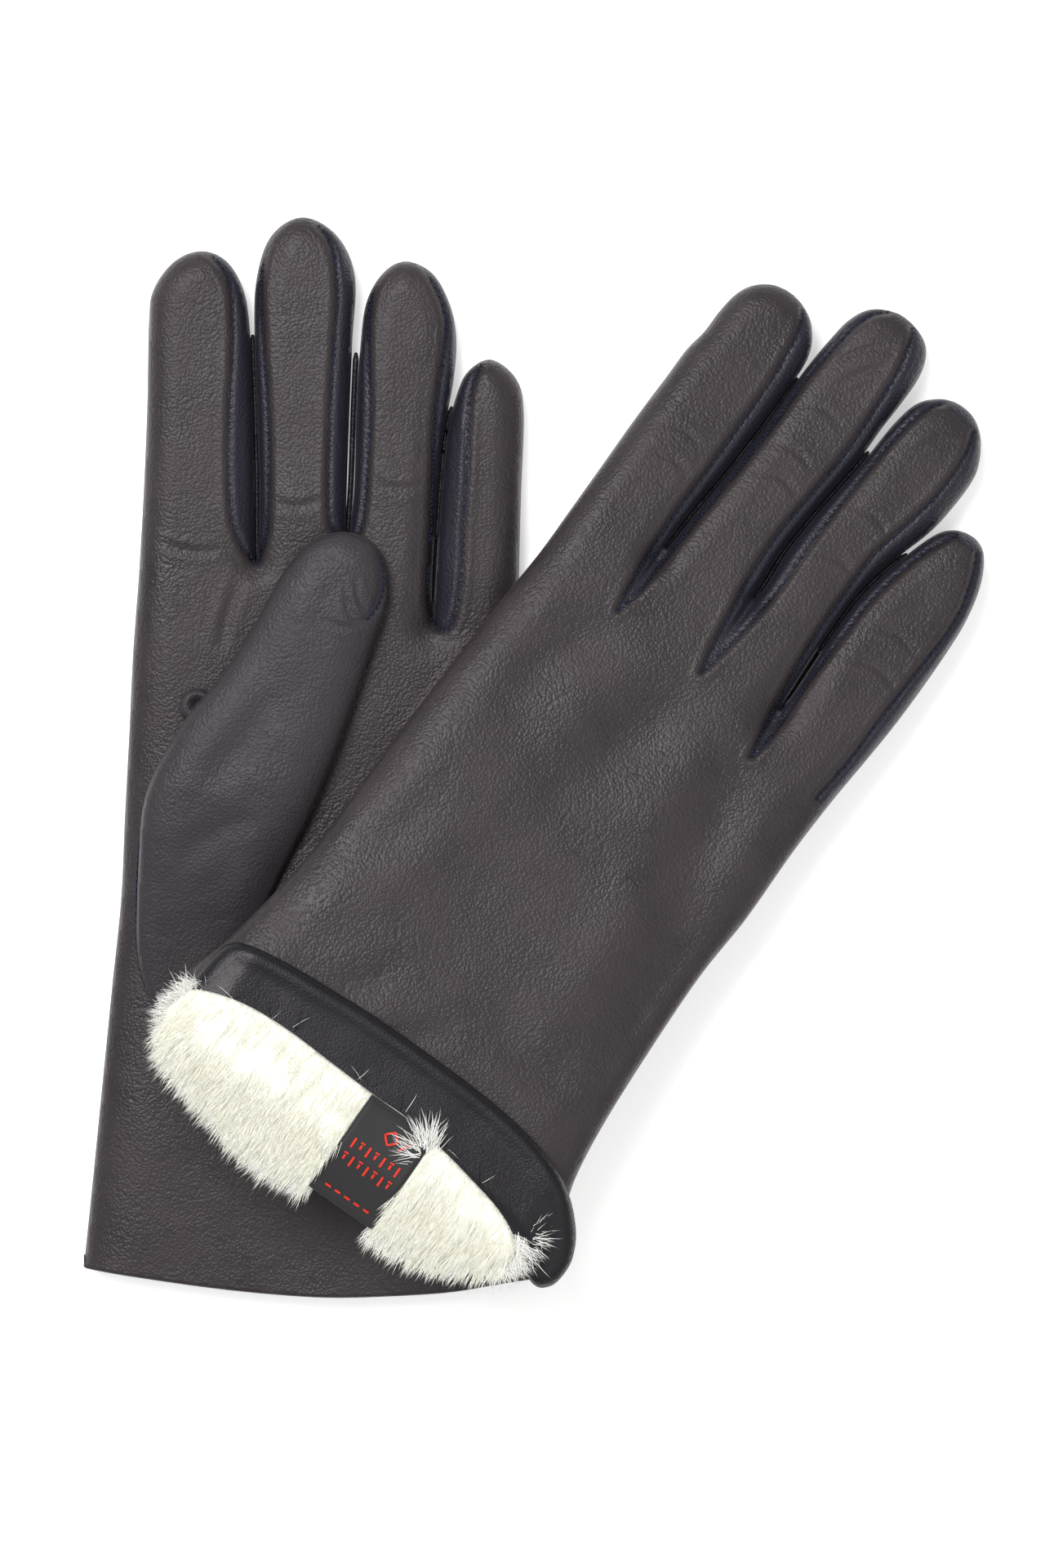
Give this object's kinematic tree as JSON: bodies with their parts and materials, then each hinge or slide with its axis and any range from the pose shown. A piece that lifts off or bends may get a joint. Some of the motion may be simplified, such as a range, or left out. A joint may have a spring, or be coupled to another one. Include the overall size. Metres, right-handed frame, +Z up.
{
  "type": "leather gloves",
  "caption": "Fur-lined leather dress gloves laid crosswise: the left palm up with its thumb folded over, the right back up with its cuff turned back over the fur.",
  "frame": {"origin": "bottom centre of the box round both gloves, on the surface they lie on", "axes": "+Y from the left glove's cuff to its fingertips, +Z up, +X from the left glove towards the right one"},
  "size_m": [0.2122, 0.252, 0.0492],
  "materials": {
    "leather": "semi-matt nappa, very dark navy",
    "fourchette": "semi-matt nappa, navy",
    "facing": "smooth satin",
    "fur": "long combed pile",
    "label": "woven"
  },
  "bodies": {
    "left_hand": {"left_hand_palm": "leather", "left_hand_back": "leather", "left_hand_lining": "fur", "left_hem_facing": "facing", "left_quirk": "leather", "left_thumb_base": "leather"},
    "left_index": {"left_index_back": "leather", "left_index_lining": "fur", "left_index_outer_fourchette": "fourchette", "left_index_palm": "leather"},
    "left_middle": {"left_middle_back": "leather", "left_middle_inner_fourchette": "fourchette", "left_middle_lining": "fur", "left_middle_outer_fourchette": "fourchette", "left_middle_palm": "leather"},
    "left_ring": {"left_ring_back": "leather", "left_ring_inner_fourchette": "fourchette", "left_ring_lining": "fur", "left_ring_outer_fourchette": "fourchette", "left_ring_palm": "leather"},
    "left_little": {"left_little_back": "leather", "left_little_inner_fourchette": "fourchette", "left_little_lining": "fur", "left_little_palm": "leather"},
    "right_index": {"right_index_back": "leather", "right_index_lining": "fur", "right_index_outer_fourchette": "fourchette", "right_index_palm": "leather"},
    "right_middle": {"right_middle_back": "leather", "right_middle_inner_fourchette": "fourchette", "right_middle_lining": "fur", "right_middle_outer_fourchette": "fourchette", "right_middle_palm": "leather"},
    "right_ring": {"right_ring_back": "leather", "right_ring_inner_fourchette": "fourchette", "right_ring_lining": "fur", "right_ring_outer_fourchette": "fourchette", "right_ring_palm": "leather"},
    "right_little": {"right_little_back": "leather", "right_little_inner_fourchette": "fourchette", "right_little_lining": "fur", "right_little_palm": "leather"},
    "left_thumb": {"left_thumb_inner": "leather", "left_thumb_lining": "fur", "left_thumb_outer": "leather"},
    "right_hand": {"right_hand_palm": "leather", "right_hand_back": "leather", "right_hand_lining": "fur", "right_quirk": "leather", "right_thumb_base": "leather", "right_thumb_inner": "leather", "right_thumb_outer": "leather", "right_thumb_lining": "fur", "right_palm_flap": "leather", "right_palm_facing": "facing"},
    "right_cuff": {"right_cuff_flap": "leather", "right_cuff_facing": "facing", "right_cuff_fur": "fur", "right_size_label": "label"}
  },
  "joints": [
    {"name": "left_index_flex", "type": "hinge", "parent": "left_hand", "child": "left_index", "pos_m": [-0.07879, 0.04698, 0.01101], "axis": [1, 0, 0], "range_deg": [0, 75]},
    {"name": "left_middle_flex", "type": "hinge", "parent": "left_hand", "child": "left_middle", "pos_m": [-0.05489, 0.05398, 0.01101], "axis": [1, 0, 0], "range_deg": [0, 75]},
    {"name": "left_ring_flex", "type": "hinge", "parent": "left_hand", "child": "left_ring", "pos_m": [-0.03049, 0.05398, 0.01101], "axis": [1, 0, 0], "range_deg": [0, 75]},
    {"name": "left_little_flex", "type": "hinge", "parent": "left_hand", "child": "left_little", "pos_m": [-0.01069, 0.04398, 0.01101], "axis": [1, 0, 0], "range_deg": [0, 75]},
    {"name": "left_thumb_lift", "type": "hinge", "parent": "left_hand", "child": "left_thumb", "pos_m": [-0.06889, -0.00802, 0.01941], "axis": [1, 0, 0], "range_deg": [0, 70]},
    {"name": "right_glove_lift", "type": "slide", "parent": "left_hand", "child": "right_hand", "axis": [0, 0, 1], "range_m": [0, 0.12]},
    {"name": "right_index_flex", "type": "hinge", "parent": "right_hand", "child": "right_index", "pos_m": [0.02106, 0.05309, 0.02128], "axis": [0.8211, -0.5707, 0], "range_deg": [0, 60]},
    {"name": "right_middle_flex", "type": "hinge", "parent": "right_hand", "child": "right_middle", "pos_m": [0.04464, 0.04515, 0.02036], "axis": [0.8211, -0.5707, 0], "range_deg": [0, 60]},
    {"name": "right_ring_flex", "type": "hinge", "parent": "right_hand", "child": "right_ring", "pos_m": [0.06468, 0.03123, 0.02036], "axis": [0.8211, -0.5707, 0], "range_deg": [0, 60]},
    {"name": "right_little_flex", "type": "hinge", "parent": "right_hand", "child": "right_little", "pos_m": [0.07528, 0.01179, 0.02167], "axis": [0.8211, -0.5707, 0], "range_deg": [0, 60]},
    {"name": "right_cuff_turn", "type": "hinge", "parent": "right_hand", "child": "right_cuff", "pos_m": [-0.04179, -0.07921, 0.04061], "axis": [0.8211, -0.5707, 0], "range_deg": [0, 70]}
  ]
}
